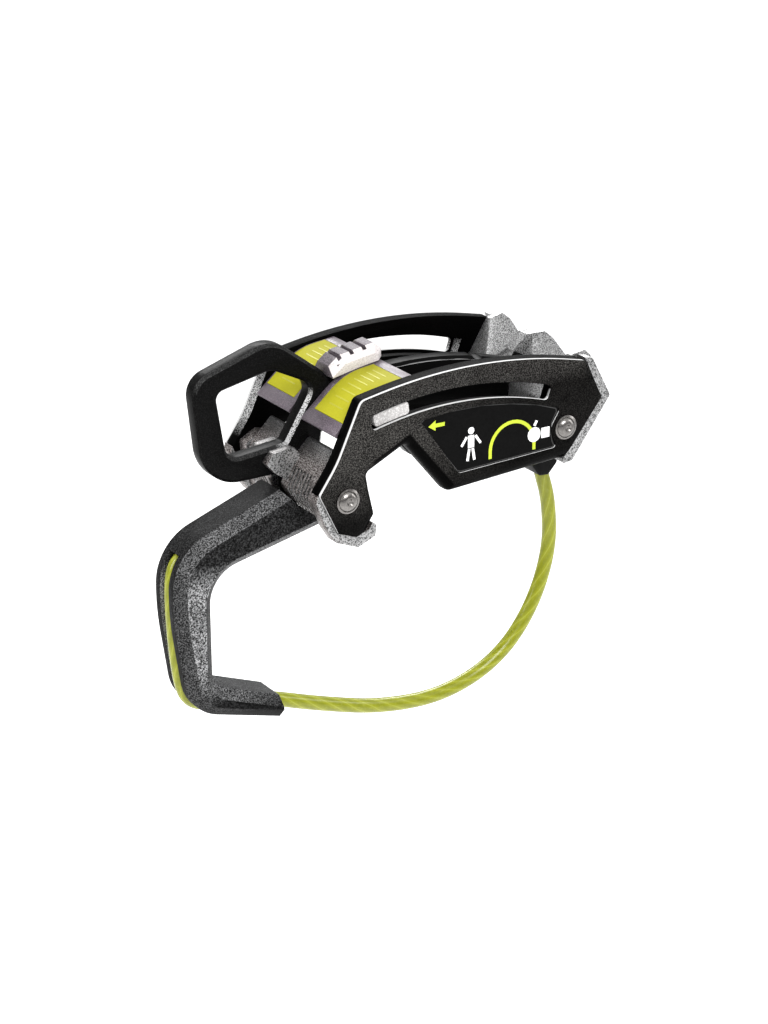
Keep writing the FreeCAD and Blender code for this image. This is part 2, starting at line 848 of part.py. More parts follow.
def make_slide_plate(side):
    body = new_body("slide_plate_" + SIDE_NAME[side])
    inner = "spine_thickness / 2 + 0.4"
    outer = "cheek_outer - cheek_thickness - run_gap"
    pad(body, body.Label + "_saddle", closed_outline(SLIDE_PLATE), inner, outer, side)
    ear = closed_outline(band(76.5, 81.5, EAR_START, EAR_END))
    pad(body, body.Label + "_ear", ear, outer + " - 1.8", outer, side)
    upstand = closed_outline(band(81.2, 84.3, -11.4, -5.6))
    pad(body, body.Label + "_upstand", upstand, inner, inner + " + 0.7", side)
    pocket(body, body.Label + "_recess", closed_outline(SLIDE_RECESS),
           inner + " + 1.6", outer + " - 0.4", side)
    holes = []
    for angle in PIN_ANGLES:
        holes += circle(on_track(PIN_RADIUS, angle), 0.53)
    pocket(body, body.Label + "_pin_holes", holes, "0", inner + " + 1", side)
    peg = circle(on_track(dim("track_radius"), SHOE_MIDDLE), 0.83)
    pocket(body, body.Label + "_peg_hole", peg, outer + " - 3", outer + " + 1", side)
    return body


PIN_RADIUS = 83.5
PIN_ANGLES = (-10.7, -6.5)
SHOE_MIDDLE = (SHOE_START + SHOE_END) / 2


def make_inlay(side):
    body = new_body("slide_inlay_" + SIDE_NAME[side])
    inner = "spine_thickness / 2 + 0.4"
    outer = "cheek_outer - cheek_thickness - run_gap"
    pad(body, body.Label + "_strip", closed_outline(SLIDE_INLAY),
        inner + " + 1.65", outer + " - 0.45", side)
    return body


def make_shoe(side):
    body = new_body("slide_shoe_" + SIDE_NAME[side])
    half = dim("shoe_height") / 2
    radius = dim("track_radius")
    start = "cheek_outer - cheek_thickness - run_gap"
    block = closed_outline(band(radius - half, radius + half, SHOE_START, SHOE_END))
    pad(body, body.Label + "_block", block, start, "shoe_outer", side)

    def end_edge(edge):
        return runs_across(edge)

    dress(body, "Fillet", body.Label + "_ends", end_edge, {"Radius": "0.7"})
    peg = circle(on_track(radius, SHOE_MIDDLE), 0.8)
    pad(body, body.Label + "_peg", peg, start + " - 1.7", start, side)
    return body


GRIP = [
    (-5.7, 18.1),
    (-5.8, 20.3),
    (-3.4, 22.2),
    (4.8, 23.5),
    (6.6, 22.2),
    (6.7, 20.3),
    ("via",) + on_track(82.4, -9.4),
]


def make_grip():
    body = new_body("thumb_grip")
    half = "grip_half_width"
    pad(body, "grip_cap", closed_outline(GRIP), "0 - " + half, half)
    half_width = dim("grip_half_width")

    def top_edge(edge):
        face = lies_at_y(edge, half_width) or lies_at_y(edge, -half_width)
        return face and mid(edge).z > 20.2

    dress(body, "Chamfer", "grip_slopes", top_edge, {"Size": "1.6"})
    for i, angle in enumerate((-11.1, -9.1, -7.1)):
        ends = band(84.9, 88.0, angle - 0.3, angle + 0.3)
        pocket(body, "grip_rib_%d" % i, closed_outline(ends), "0 - 2.7", "2.7")
    cavity = closed_outline(band(80.0, 84.4, -11.8, -5.2))
    pocket(body, "grip_cavity", cavity, "0 - ( spine_thickness / 2 + 1.15 )",
           "spine_thickness / 2 + 1.15")
    holes = []
    for angle in PIN_ANGLES:
        holes += circle(on_track(PIN_RADIUS, angle), 0.53)
    pocket(body, "grip_pin_holes", holes, "0 - grip_pin_half - fit_gap", "grip_pin_half + fit_gap")
    return body


def make_detent_spring():
    """A leaf under the two grip pins; its middle drops into a notch in the spine's crown."""
    body = new_body("detent_spring")
    leaf = [
        on_track(82.6, -11.5),
        on_track(82.6, -9.9),
        on_track(81.0, -9.1),
        on_track(79.75, REST_ANGLE),
        on_track(81.0, -7.5),
        on_track(82.6, -6.7),
        on_track(82.6, -5.6),
    ]
    leaf = [(p[0], p[1], 0.5) if 0 < i < 6 else p for i, p in enumerate(leaf)]
    upper = [(p[0], p[1] + 0.3) + tuple(p[2:]) for p in reversed(leaf)]
    pad(body, "spring_leaf", closed_outline(leaf + upper), "0 - 1.8", "1.8")
    return body


# --- the assembly ----------------------------------------------------------------------------

nodes = []
for each_side in (LEFT, RIGHT):
    nodes.append(make_cheek(each_side))
    nodes.append(make_label(each_side))
    nodes.append(make_front_insert(each_side))
    nodes.append(make_slide_plate(each_side))
    nodes.append(make_inlay(each_side))
    nodes.append(make_shoe(each_side))
nodes.append(make_spine())
nodes.append(make_rear_insert())
nodes.append(make_rivet("front_rivet", FRONT_RIVET))
nodes.append(make_rivet("rear_rivet", REAR_RIVET))
make_cable()
nodes.append(make_hook())
nodes.append(make_boot())
nodes.append(cross_pins("hook_pin", [HOOK_PIN], "pin_diameter", "hook_half_width"))
nodes.append(cross_pins("boot_pin", [BOOT_PIN], "pin_diameter", "boot_half_width"))
nodes.append(make_grip())
nodes.append(make_detent_spring())
pin_places = [on_track(PIN_RADIUS, angle) for angle in PIN_ANGLES]
nodes.append(cross_pins("grip_pins", pin_places, "1.0", "grip_pin_half"))
for name in ("cable_core", "cable_jacket"):
    nodes.append(doc.getObject(name))
nodes.append(doc.getObject("hook_ferrule_sleeve"))

# --- checks and output -----------------------------------------------------------------------

doc.recompute()
for obj in doc.Objects:
    if "Invalid" in obj.State or "Error" in obj.State:
        raise RuntimeError("%s did not compute: %s" % (obj.Label, obj.State))

os.makedirs("parts", exist_ok=True)
for node in nodes:
    shape = node.Shape
    if shape.isNull() or not shape.isValid() or not shape.Solids:
        raise RuntimeError("%s has no valid solid" % node.Label)
    shape.exportStep(os.path.join("parts", node.Label + ".step"))
    print("%-26s %8.1f mm3, %d solid(s)" % (node.Label, shape.Volume, len(shape.Solids)))
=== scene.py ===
import json
import math

import bmesh
import bpy
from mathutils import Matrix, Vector


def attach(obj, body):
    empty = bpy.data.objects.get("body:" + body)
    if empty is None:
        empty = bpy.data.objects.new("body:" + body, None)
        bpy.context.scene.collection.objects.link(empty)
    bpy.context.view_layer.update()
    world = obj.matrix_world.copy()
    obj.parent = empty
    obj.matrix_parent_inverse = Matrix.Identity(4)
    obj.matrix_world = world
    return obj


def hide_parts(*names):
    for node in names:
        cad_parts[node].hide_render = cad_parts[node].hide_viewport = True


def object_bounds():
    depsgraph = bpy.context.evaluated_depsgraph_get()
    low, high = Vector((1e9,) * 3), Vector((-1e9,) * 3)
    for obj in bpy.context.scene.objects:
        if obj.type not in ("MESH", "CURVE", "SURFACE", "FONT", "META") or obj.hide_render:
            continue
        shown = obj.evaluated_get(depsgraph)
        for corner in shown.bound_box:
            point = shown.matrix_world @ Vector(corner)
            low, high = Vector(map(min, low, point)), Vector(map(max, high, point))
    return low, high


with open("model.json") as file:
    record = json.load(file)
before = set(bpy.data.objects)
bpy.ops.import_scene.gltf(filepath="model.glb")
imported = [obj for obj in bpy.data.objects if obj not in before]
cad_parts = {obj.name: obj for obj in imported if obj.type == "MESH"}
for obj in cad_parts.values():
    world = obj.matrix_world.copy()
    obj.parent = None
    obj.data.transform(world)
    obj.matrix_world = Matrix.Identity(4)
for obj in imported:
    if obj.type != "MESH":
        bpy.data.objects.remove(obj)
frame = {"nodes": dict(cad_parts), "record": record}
CAD_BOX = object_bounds()
MM = 0.001
LEFT, RIGHT = -1, 1
SIDE = {LEFT: "left", RIGHT: "right"}
scene = bpy.context.scene


# --- camera, lights, floor ---------------------------------------------------------------

def direction(azimuth, elevation):
    """Unit vector from the object towards a viewer; azimuth 0 stands on the -Y side."""
    a, e = math.radians(azimuth), math.radians(elevation)
    return Vector((math.sin(a) * math.cos(e), -math.cos(a) * math.cos(e), math.sin(e)))


def aim(obj, place, target):
    obj.location = place
    obj.rotation_euler = (place - target).to_track_quat("Z", "Y").to_euler()


CAMERA_TARGET = Vector((8.7, 0.0, -14.7)) * MM
CAMERA_DISTANCE = 620 * MM
CAMERA_AZIMUTH, CAMERA_ELEVATION = -32.2, 21.2
camera_data = bpy.data.cameras.new("camera")
camera_data.sensor_width = 36
camera_data.lens = 105.06
camera = bpy.data.objects.new("camera", camera_data)
scene.collection.objects.link(camera)
camera_place = CAMERA_TARGET + CAMERA_DISTANCE * direction(CAMERA_AZIMUTH, CAMERA_ELEVATION)
aim(camera, camera_place, CAMERA_TARGET)
scene.camera = camera

scene.view_settings.view_transform = "Standard"
scene.view_settings.look = "None"

world = bpy.data.worlds.new("studio")
world.use_nodes = True
sky = world.node_tree
height = sky.nodes.new("ShaderNodeSeparateXYZ")
sky.links.new(sky.nodes.new("ShaderNodeTexCoord").outputs["Generated"], height.inputs[0])
ramp = sky.nodes.new("ShaderNodeMapRange")
ramp.inputs["From Min"].default_value = 0.15
ramp.inputs["From Max"].default_value = 0.65
ramp.inputs["To Min"].default_value = 0.45
ramp.inputs["To Max"].default_value = 1.35
sky.links.new(height.outputs["Z"], ramp.inputs["Value"])
sky.links.new(ramp.outputs["Result"], sky.nodes["Background"].inputs["Strength"])
sky.nodes["Background"].inputs["Color"].default_value = (1.0, 1.0, 1.0, 1)
scene.world = world


def softbox(name, azimuth, elevation, distance, width, height, power):
    data = bpy.data.lights.new(name, "AREA")
    data.shape = "RECTANGLE"
    data.size = width
    data.size_y = height
    data.energy = power
    lamp = bpy.data.objects.new(name, data)
    scene.collection.objects.link(lamp)
    aim(lamp, CAMERA_TARGET + distance * direction(azimuth, elevation), CAMERA_TARGET)


softbox("key", -12, 42, 0.55, 0.30, 0.25, 2.6)
softbox("front", -95, 25, 0.55, 0.15, 0.30, 1.6)
softbox("rim", 150, 35, 0.60, 0.50, 0.12, 3.0)
softbox("side", 62, 18, 0.60, 0.12, 0.40, 0.9)


# --- materials -----------------------------------------------------------------------------

class Nodes:
    """Small helper that adds and links shader nodes of one material."""

    def __init__(self, name):
        self.material = bpy.data.materials.new(name)
        self.material.use_nodes = True
        self.tree = self.material.node_tree
        self.shader = self.tree.nodes["Principled BSDF"]

    def add(self, kind, inputs=None, **settings):
        node = self.tree.nodes.new(kind)
        for key, value in settings.items():
            setattr(node, key, value)
        for key, value in (inputs or {}).items():
            self.put(value, node.inputs[key])
        return node

    def put(self, value, socket):
        if isinstance(value, bpy.types.NodeSocket):
            self.tree.links.new(value, socket)
        elif isinstance(value, tuple) and len(value) == 3 and socket.type == "RGBA":
            socket.default_value = (*value, 1)
        else:
            socket.default_value = value

    def set(self, **values):
        for key, value in values.items():
            self.put(value, self.shader.inputs[key.replace("_", " ")])

    def place(self):
        return self.add("ShaderNodeTexCoord").outputs["Object"]

    def noise(self, scale, detail=2.0):
        return self.add("ShaderNodeTexNoise", {
            "Vector": self.place(), "Scale": scale, "Detail": detail,
            "Roughness": 0.6}).outputs["Fac"]

    def remap(self, value, low, high, to_low=0.0, to_high=1.0):
        return self.add("ShaderNodeMapRange", {
            "Value": value, "From Min": low, "From Max": high,
            "To Min": to_low, "To Max": to_high}).outputs["Result"]

    def mix(self, factor, a, b, blend="MIX"):
        node = self.add("ShaderNodeMix", data_type="RGBA", blend_type=blend)
        for socket, value in ((node.inputs[0], factor), (node.inputs[6], a), (node.inputs[7], b)):
            self.put(value, socket)
        return node.outputs[2]

    def parts(self, vector):
        split = self.add("ShaderNodeSeparateXYZ", {"Vector": vector})
        return split.outputs["X"], split.outputs["Y"], split.outputs["Z"]

    def facing(self):
        """The three parts of the surface normal."""
        return self.parts(self.add("ShaderNodeNewGeometry").outputs["Normal"])

    def shaded(self, colour, factor):
        tone = self.add("ShaderNodeCombineColor", {"Red": factor, "Green": factor, "Blue": factor})
        return self.mix(1.0, colour, tone.outputs["Color"], "MULTIPLY")

    def math(self, operation, a, b=0.0):
        return self.add("ShaderNodeMath", {0: a, 1: b}, operation=operation).outputs[0]

    def bump(self, height, strength, distance):
        inputs = {"Height": height, "Strength": strength, "Distance": distance}
        return self.add("ShaderNodeBump", inputs).outputs["Normal"]


def grey(value):
    return (value, value, value)


def speckle(n, base, fleck, grain, cover, patches=0.25):
    """Colour of a stippled finish: fine flecks over a base colour, with broad patches."""
    fine = n.noise(1 / (grain * MM), 1.5)
    broad = n.noise(1 / (9 * MM), 2.0)
    colour = n.mix(n.remap(fine, *cover), base, fleck)
    shade = n.remap(broad, 0.3, 0.7, 1 - patches, 1 + patches)
    return n.shaded(colour, shade), fine


def grained(name, base, fleck, grain=0.28, bump=0.35, metallic=0.0, rough=(0.35, 0.6),
            cover=(0.48, 0.68), patches=0.25, specular=0.5):
    n = Nodes(name)
    colour, fine = speckle(n, base, fleck, grain, cover, patches)
    n.set(Base_Color=colour, Roughness=n.remap(fine, 0.3, 0.7, *rough), Metallic=metallic,
          Specular_IOR_Level=specular, Normal=n.bump(fine, bump, grain * 0.3 * MM))
    return n


def plain(name, base, rough, metallic=0.0, spread=0.12, specular=0.5):
    """A nearly even finish: the same colour with slight, broad variation."""
    low = tuple(c * (1 - spread) for c in base)
    high = tuple(min(1.0, c * (1 + spread)) for c in base)
    return grained(name, low, high, 0.5, 0.1, metallic, (rough - 0.05, rough + 0.08),
                   (0.35, 0.65), 0.1, specular)


def edge_line(n, side, up, low, high, start=0.40, full=0.62):
    """1 on the narrow rounded edges between a side face and a face that looks upwards; it places
    painted edge highlights.
    """
    line = n.math("MULTIPLY", n.remap(side, start, full), n.remap(side, 0.97, 0.90))
    return n.math("MULTIPLY", line, n.remap(up, low, high))


def above_line(n, along, up, first, second):
    """Signed distance in metres of the surface above a line drawn on the side of the device."""
    run, rise = second[0] - first[0], second[1] - first[1]
    size = math.hypot(run, rise)
    offset = (first[0] * rise - first[1] * run) / size * MM
    slope = n.math("MULTIPLY", along, -rise / size)
    return n.math("ADD", n.math("ADD", slope, n.math("MULTIPLY", up, run / size)), offset)


def cheek_material():
    """Charcoal stipple; painted sheen lightens it at the front and along the top, painted shade keeps
    it black elsewhere, and painted highlights light its edges.
    """
    n = Nodes("cheek_black")
    x, y, z = n.facing()
    along, across, up = n.parts(n.place())
    side = n.math("ABSOLUTE", y)
    colour, fine = speckle(n, (0.0030, 0.0029, 0.0028), (0.070, 0.067, 0.063), 0.24,
                           (0.42, 0.72), 0.3)
    # Painted sheen: lighter towards the front (lit) and along the top (crown); the tone also grows
    # darker towards the bottom (low).
    lit = n.remap(along, -6 * MM, 28 * MM, 1.3, 0.25)
    crown = n.remap(up, 12 * MM, 17 * MM, 0.0, 0.95)
    lit = n.math("MAXIMUM", lit, crown)
    low = n.remap(up, -7 * MM, 5 * MM, 0.10, 1.0)
    # Painted shade: faces that do not point sideways, the chamfer along the notch and the inner faces
    # are made nearly black.
    flat_face = n.remap(side, 0.80, 0.97, 0.03, 1.0)
    left_wall = above_line(n, along, up, (-6.7, 2.6), (2.4, 7.0))
    right_wall = above_line(n, along, up, (2.4, 7.0), (12.5, -5.2))
    notch = n.math("MAXIMUM", n.remap(left_wall, 1.7 * MM, 2.1 * MM),
                   n.remap(right_wall, 1.7 * MM, 2.1 * MM))
    notch = n.math("MAXIMUM", notch, n.remap(along, -5.2 * MM, -6.4 * MM))
    flat_face = n.math("MULTIPLY", flat_face, n.remap(notch, 0, 1, 0.04, 1))
    outward = n.math("LESS_THAN", 0.0, n.math("MULTIPLY", y, across))
    flat_face = n.math("MULTIPLY", flat_face, n.remap(outward, 0, 1, 0.03, 1))
    colour = n.shaded(colour, n.math("MULTIPLY", n.math("MULTIPLY", lit, low), flat_face))
    # Painted highlight: a light line along the top and front edges of the outer face.
    ahead = n.math("MULTIPLY", n.remap(x, 0.0, -1.0), n.remap(along, -5 * MM, -6 * MM))
    outer_edge = n.remap(n.math("ABSOLUTE", across), 18.25 * MM, 18.45 * MM)
    edge = n.math("MULTIPLY", outer_edge, n.remap(n.math("MAXIMUM", z, ahead), 0.25, 0.45))
    colour = n.mix(n.math("MULTIPLY", edge, 0.85), colour, grey(0.60))
    worn = n.math("MULTIPLY", n.remap(x, -0.55, -0.80), n.remap(up, 17.0 * MM, 11 * MM))
    worn = n.math("MULTIPLY", worn, n.math("LESS_THAN", 0.0, across))
    worn = n.math("MULTIPLY", worn, n.remap(fine, 0.44, 0.56))
    worn = n.math("MULTIPLY", worn, n.remap(up, 2 * MM, 6 * MM))
    colour = n.mix(worn, colour, grey(0.40))
    n.set(Base_Color=colour, Roughness=n.remap(fine, 0.3, 0.7, 0.36, 0.6), Specular_IOR_Level=0.015,
          Normal=n.bump(fine, 0.3, 0.07 * MM))
    return n


def eye_material():
    """Satin black; the eye's rear bar is worn bright where ropes run against it."""
    n = Nodes("eye_black")
    _, y, z = n.facing()
    along, _, up = n.parts(n.place())
    side = n.math("ABSOLUTE", y)
    fine = n.noise(1 / (0.22 * MM), 2.0)
    flecks = n.math("MULTIPLY", n.remap(fine, 0.48, 0.72), n.remap(along, 2 * MM, -6 * MM))
    colour = n.mix(flecks, grey(0.0015), grey(0.014))
    worn = n.math("MULTIPLY", n.remap(along, -18 * MM, -15 * MM),
                  n.remap(along, -6.5 * MM, -8 * MM))
    worn = n.math("MULTIPLY", worn, n.remap(up, 16.5 * MM, 14 * MM))
    slanted = n.math("MULTIPLY", n.remap(y, -0.35, -0.6), n.remap(y, -0.97, -0.85))
    worn = n.math("MULTIPLY", worn, slanted)
    colour = n.mix(n.math("MULTIPLY", worn, n.remap(fine, 0.42, 0.52)), colour, grey(0.65))
    # Painted highlights: a light line along the crown's upper edges and a faint speckled one along
    # the rim's upper edges at the front.
    crown = n.math("MULTIPLY", edge_line(n, side, z, 0.1, 0.3, 0.76, 0.84),
                   n.remap(along, -1 * MM, 3 * MM))
    rim = n.math("MULTIPLY", edge_line(n, side, z, 0.1, 0.4), n.remap(along, -8 * MM, -12 * MM))
    colour = n.mix(n.math("MULTIPLY", crown, 0.9), colour, grey(0.45))
    colour = n.mix(n.math("MULTIPLY", rim, n.remap(fine, 0.45, 0.65, 0.10, 0.45)), colour, grey(0.08))
    n.set(Base_Color=colour, Roughness=0.32, Specular_IOR_Level=0.03,
          Normal=n.bump(fine, 0.08, 0.06 * MM))
    return n


def steel_material():
    """Blasted stainless steel; painted light makes it brightest on the faces that point sideways, and
    painted shade darkens its rounded outer edges.
    """
    n = Nodes("insert_steel")
    _, y, z = n.facing()
    along, across, up = n.parts(n.place())
    side = n.math("ABSOLUTE", y)
    low, fine = speckle(n, grey(0.050), grey(0.26), 0.26, (0.38, 0.68), 0.3)
    fins = n.mix(n.remap(fine, 0.36, 0.62), grey(0.06), grey(0.32))
    flutes = n.mix(n.remap(fine, 0.44, 0.62), (0.024, 0.015, 0.012), (0.36, 0.33, 0.32))
    low = n.mix(n.remap(up, 6 * MM, 3 * MM, 0.0, 0.8), low, flutes)
    low = n.mix(n.remap(along, 30 * MM, 34 * MM), low, fins)
    # Painted light: faces that point sideways get the brighter colour.
    bright = n.mix(n.remap(fine, 0.38, 0.58), grey(0.04), grey(0.39))
    colour = n.mix(n.remap(side, 0.93, 0.99), low, bright)
    # Painted shade: the rounded edges at the outer rim are darkened.
    edge = n.math("MULTIPLY", n.remap(side, 0.45, 0.72), n.remap(side, 0.97, 0.88))
    rim = n.math("LESS_THAN", 15.7 * MM, n.math("ABSOLUTE", across))
    colour = n.mix(n.math("MULTIPLY", n.math("MULTIPLY", edge, rim), 0.95), colour, grey(0.01))
    # Painted highlight: a speckled light line along the top ridge.
    ridge = n.math("MULTIPLY", n.remap(z, 0.75, 0.9), n.remap(up, 16.6 * MM, 17.4 * MM))
    colour = n.mix(n.math("MULTIPLY", ridge, n.remap(fine, 0.40, 0.5)), colour, grey(0.55))
    n.set(Base_Color=colour, Metallic=0.75, Roughness=n.remap(fine, 0.3, 0.7, 0.30, 0.46),
          Specular_IOR_Level=0.1, Normal=n.bump(fine, 0.3, 0.06 * MM))
    return n


def hook_material():
    """Graphite stipple; painted light makes the arm's upper facet and the leg's flat sides light, and
    painted shade keeps the rest dark.
    """
    n = Nodes("hook_graphite")
    _, y, z = n.facing()
    _, _, up = n.parts(n.place())
    side = n.math("ABSOLUTE", y)
    colour, fine = speckle(n, grey(0.012), (0.235, 0.236, 0.240), 0.27, (0.42, 0.74), 0.25)
    # Painted light and shade: the tone follows which way each facet points and how high it sits.
    leg = n.math("MULTIPLY", n.remap(up, -15 * MM, -20 * MM), n.remap(up, -46 * MM, -37 * MM))
    arm = n.remap(up, -44 * MM, -30 * MM, 0.10, 0.20)
    light = n.math("ADD", arm, n.math("MULTIPLY", leg, 1.65))
    flat_face = n.math("MULTIPLY", n.remap(side, 0.88, 0.98), light)
    facet = n.math("MULTIPLY", n.remap(side, 0.30, 0.55), n.remap(side, 0.98, 0.88))
    under = n.math("MULTIPLY", n.remap(z, -0.3, -0.5, 0.0, 1.2), n.remap(up, -34 * MM, -28 * MM))
    slant = n.math("MAXIMUM", n.remap(z, -0.1, 0.35, 0.50, 0.88), under)
    slant = n.math("MULTIPLY", slant, n.remap(up, -49.5 * MM, -46 * MM, 0.25, 1.0))
    upper = n.math("MULTIPLY", facet, slant)
    foot = n.math("MULTIPLY", n.remap(z, 0.6, 0.85), n.remap(up, -38 * MM, -41 * MM))
    back = n.math("MULTIPLY", n.remap(side, 0.55, 0.30), n.remap(foot, 0, 1, 0.20, 0.62))
    tone = n.math("ADD", n.math("ADD", flat_face, upper), back)
    colour = n.shaded(colour, tone)
    n.set(Base_Color=colour, Roughness=n.remap(fine, 0.3, 0.7, 0.38, 0.62), Specular_IOR_Level=0.02,
          Normal=n.bump(fine, 0.45, 0.06 * MM))
    return n


def grip_material():
    """Purplish grey on top; painted light makes the two slopes pale, and they are finely speckled."""
    n = Nodes("grip_grey")
    _, y, _ = n.facing()
    top, fine = speckle(n, (0.045, 0.037, 0.043), (0.13, 0.112, 0.125), 0.26, (0.4, 0.66), 0.2)
    slope = n.mix(n.remap(fine, 0.3, 0.7), (0.42, 0.385, 0.385), (0.66, 0.62, 0.61))
    # Painted light: faces that point sideways get the pale colour.
    colour = n.mix(n.remap(n.math("ABSOLUTE", y), 0.35, 0.6), top, slope)
    n.set(Base_Color=colour, Roughness=0.5, Specular_IOR_Level=0.3,
          Normal=n.bump(fine, 0.4, 0.07 * MM))
    return n


def inlay_material():
    """Matt lime; painted shade makes it a little deeper where it lies flat under the light."""
    n = Nodes("inlay_lime")
    _, _, z = n.facing()
    lime = n.mix(n.remap(n.noise(1 / (0.5 * MM)), 0.35, 0.65),
                 (0.305, 0.292, 0.016), (0.330, 0.316, 0.018))
    # Painted shade: a little darker on faces that point up.
    n.set(Base_Color=n.shaded(lime, n.remap(z, 0.75, 0.98, 1.0, 0.80)), Roughness=0.55,
          Specular_IOR_Level=0.05)
    return n


def jacket_material():
    """Translucent lime tube with the twisted strands showing through, laid out on its UV map."""
    n = Nodes("jacket_lime")
    uv = n.add("ShaderNodeUVMap", uv_map="tube").outputs["UV"]
    along, around, _ = n.parts(uv)
    wobble = n.math("MULTIPLY", n.noise(1 / (4 * MM), 1.0), 1.5)
    phase = n.math("ADD", n.math("MULTIPLY", along, 2 * math.pi / 5.2),
                   n.math("MULTIPLY", around, -2 * math.pi * 5))
    strand = n.math("SINE", n.math("ADD", phase, wobble))
    band = n.remap(strand, -1.0, 1.0)
    colour = n.mix(band, (0.172, 0.186, 0.004), (0.226, 0.240, 0.007))
    thread = n.remap(strand, 0.90, 1.0, 0.0, 0.35)
    colour = n.mix(thread, colour, (0.36, 0.40, 0.07))
    streak = n.remap(n.noise(1 / (0.8 * MM), 2.0), 0.5, 0.85, 0.0, 0.3)
    colour = n.mix(streak, colour, (0.34, 0.37, 0.06))
    n.set(Base_Color=colour, Roughness=0.26, Normal=n.bump(band, 0.04, 0.05 * MM),
          Specular_IOR_Level=0.3, Coat_Weight=0.15, Coat_Roughness=0.15,
          Subsurface_Weight=0.15, Subsurface_Scale=0.8 * MM)
    n.set(Subsurface_Radius=(1.0, 1.0, 0.25))
    return n


finish = {
    "cheek_black": cheek_material(),
    "label_dark": plain("label_dark", grey(0.0040), 0.42, specular=0.015),
    "eye_black": eye_material(),
    "insert_steel": steel_material(),
    "rivet_steel": plain("rivet_steel", (0.17, 0.162, 0.155), 0.22, 1.0),
    "hook_graphite": hook_material(),
    "core_steel": plain("core_steel", (0.5, 0.52, 0.35), 0.3, 1.0),
    "jacket_lime": jacket_material(),
    "boot_black": plain("boot_black", grey(0.004), 0.45, specular=0.05),
    "slide_grey": grained("slide_grey", (0.060, 0.047, 0.058), (0.15, 0.125, 0.145),
                          0.22, 0.3, 0.0, (0.3, 0.45), specular=0.4),
    "inlay_lime": inlay_material(),
    "shoe_grey": grained("shoe_grey", (0.30, 0.29, 0.285), (0.52, 0.51, 0.50), 0.3, 0.3,
                         0.0, (0.4, 0.6)),
    "grip_grey": grip_material(),
    "print_white": plain("print_white", (0.86, 0.86, 0.86), 0.5, spread=0.03),
    "print_lime": plain("print_lime", (0.42, 0.52, 0.012), 0.5, spread=0.05),
    "print_grey": plain("print_grey", grey(0.030), 0.5, specular=0.1),
    "relief_lime": plain("relief_lime", (0.335, 0.325, 0.035), 0.4, specular=0.2, spread=0.05),
}
material = {name: n.material for name, n in finish.items()}


# --- adding pieces, and the floor ------------------------------------------------------------

def add_object(name, mesh, mat, body="device"):
    obj = bpy.data.objects.new(name, mesh)
    scene.collection.objects.link(obj)
    obj.data.materials.clear()
    obj.data.materials.append(material[mat])
    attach(obj, body)
    return obj


FLOOR_HALF = 12.0
FLOOR_DROP = 0.15
floor_nodes = Nodes("floor")
floor_nodes.set(Base_Color=floor_nodes.mix(floor_nodes.noise(3.0), grey(0.93), grey(0.96)),
                Roughness=0.9)
floor_mesh = bpy.data.meshes.new("floor")
corners = [(x * FLOOR_HALF, y * FLOOR_HALF, 0) for x, y in ((-1, -1), (1, -1), (1, 1), (-1, 1))]
floor_mesh.from_pydata(corners, [], [(0, 1, 2, 3)])
floor_mesh.materials.append(floor_nodes.material)
floor = bpy.data.objects.new("floor", floor_mesh)
floor.location.z = CAD_BOX[0][2] - FLOOR_DROP
scene.collection.objects.link(floor)


# --- the CAD nodes with softened edges -------------------------------------------------------

slots = {row["node"]: row["material_slot"] for row in frame["record"]["subparts"]}


def soften(node, width, body="device"):
    """A copy of a CAD node with its sharp edges rounded, which stands for the node."""
    source = frame["nodes"][node]
    slot = slots[node]
    mesh = source.data.copy()
    mesh.materials.clear()
    mesh.materials.append(material[slot])
    bm = bmesh.new()
    bm.from_mesh(mesh)
    bmesh.ops.remove_doubles(bm, verts=bm.verts, dist=0.002 * MM)
    bmesh.ops.dissolve_limit(bm, angle_limit=math.radians(0.5), verts=bm.verts, edges=bm.edges)
    for face in bm.faces:
        face.smooth = True
        face.material_index = 0
    bm.to_mesh(mesh)
    bm.free()
    obj = bpy.data.objects.new(node + "_shape", mesh)
    scene.collection.objects.link(obj)
    bevel = obj.modifiers.new("edge", "BEVEL")
    bevel.width = width * MM
    bevel.segments = 2
    bevel.limit_method = "ANGLE"
    bevel.angle_limit = math.radians(28)
    bevel.use_clamp_overlap = True
    bevel.harden_normals = True
    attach(obj, body)
    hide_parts(node)


for node, obj in frame["nodes"].items():
    for material_slot in obj.material_slots:
        material_slot.material = material[slots[node]]
# The photo shows no pin in the hook's sides, so the pin's flush ends have the hook's finish.
for material_slot in frame["nodes"]["hook_pin"].material_slots:
    material_slot.material = material["hook_graphite"]


# --- cable -----------------------------------------------------------------------------------

CABLE_ROUTE = [
    (-35.6, -13.6),
    (-39.0, -14.2),
    (-41.1, -17.2),
    (-41.45, -22.6),
    (-41.2, -29.0),
    (-40.75, -35.0),
    (-40.0, -41.0),
    (-38.9, -44.9),
    (-36.3, -47.1),
    (-32.2, -47.7),
    (-26.0, -48.7),
    (-19.0, -50.3),
    (-7.5, -54.4),
    (8.0, -59.0),
    (24.0, -60.0),
    (37.9, -54.9),
    (46.6, -44.8),
    (51.1, -32.0),
    (50.5, -20.5),
    (48.3, -13.4),
    (47.3, -9.6),
]


def spline_points(route, name):
    """Points along the smooth NURBS curve through a route's control points."""
    curve = bpy.data.curves.new(name, "CURVE")
    curve.dimensions = "3D"
    spline = curve.splines.new("NURBS")
    spline.points.add(len(route) - 1)
    for point, (x, z) in zip(spline.points, route):
        point.co = (x * MM, 0, z * MM, 1)
    spline.order_u = 3
    spline.use_endpoint_u = True
    spline.resolution_u = 12
    obj = bpy.data.objects.new(name, curve)
    scene.collection.objects.link(obj)
    mesh = bpy.data.meshes.new_from_object(obj)
    points = [v.co.copy() for v in mesh.vertices]
    bpy.data.objects.remove(obj)
    bpy.data.meshes.remove(mesh)
    return points


